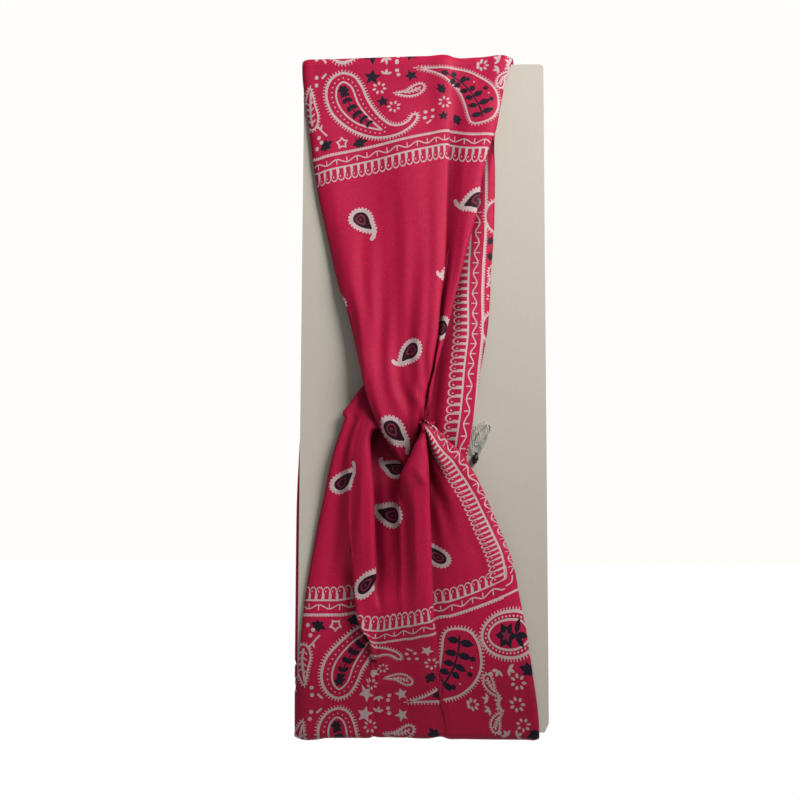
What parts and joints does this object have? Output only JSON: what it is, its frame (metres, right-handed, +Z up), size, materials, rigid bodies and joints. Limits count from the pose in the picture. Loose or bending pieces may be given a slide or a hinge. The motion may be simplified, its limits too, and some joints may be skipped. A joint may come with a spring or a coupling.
{
  "type": "twist-front sports headband on a display card",
  "caption": "Wide stretch-fabric headband with a twisted front knot, stretched lengthwise round a stiff upright display card that it slides off sideways.",
  "frame": {"origin": "centre of the bounding box, on the card's upright centre line and level with the seam in the middle of the back", "axes": "+Z up along the card, which is also the length of the stretched headband; +X towards the card's bare right margin as seen from the front; the knotted front looks along -Y"},
  "size_m": [0.0888, 0.0164, 0.2458],
  "materials": {
    "card_board": "uncoated off-white board with paler cut edges",
    "printed_knit": "crimson pink satin stretch knit with a white and navy bandana-style print",
    "seam_thread": "overlock thread over a folded seam allowance",
    "clear_nylon": "translucent clear nylon filament",
    "black_nylon": "moulded black nylon"
  },
  "bodies": {
    "card": {"display_card": "card_board"},
    "headband": {"upper_strap": "printed_knit", "lower_strap": "printed_knit", "overlock_seam": "seam_thread", "tag_loop": "clear_nylon", "tag_lock": "black_nylon"}
  },
  "joints": [
    {"name": "band_slide", "type": "slide", "parent": "card", "child": "headband", "axis": [1, 0, 0], "range_m": [-0.09, 0.09]}
  ]
}
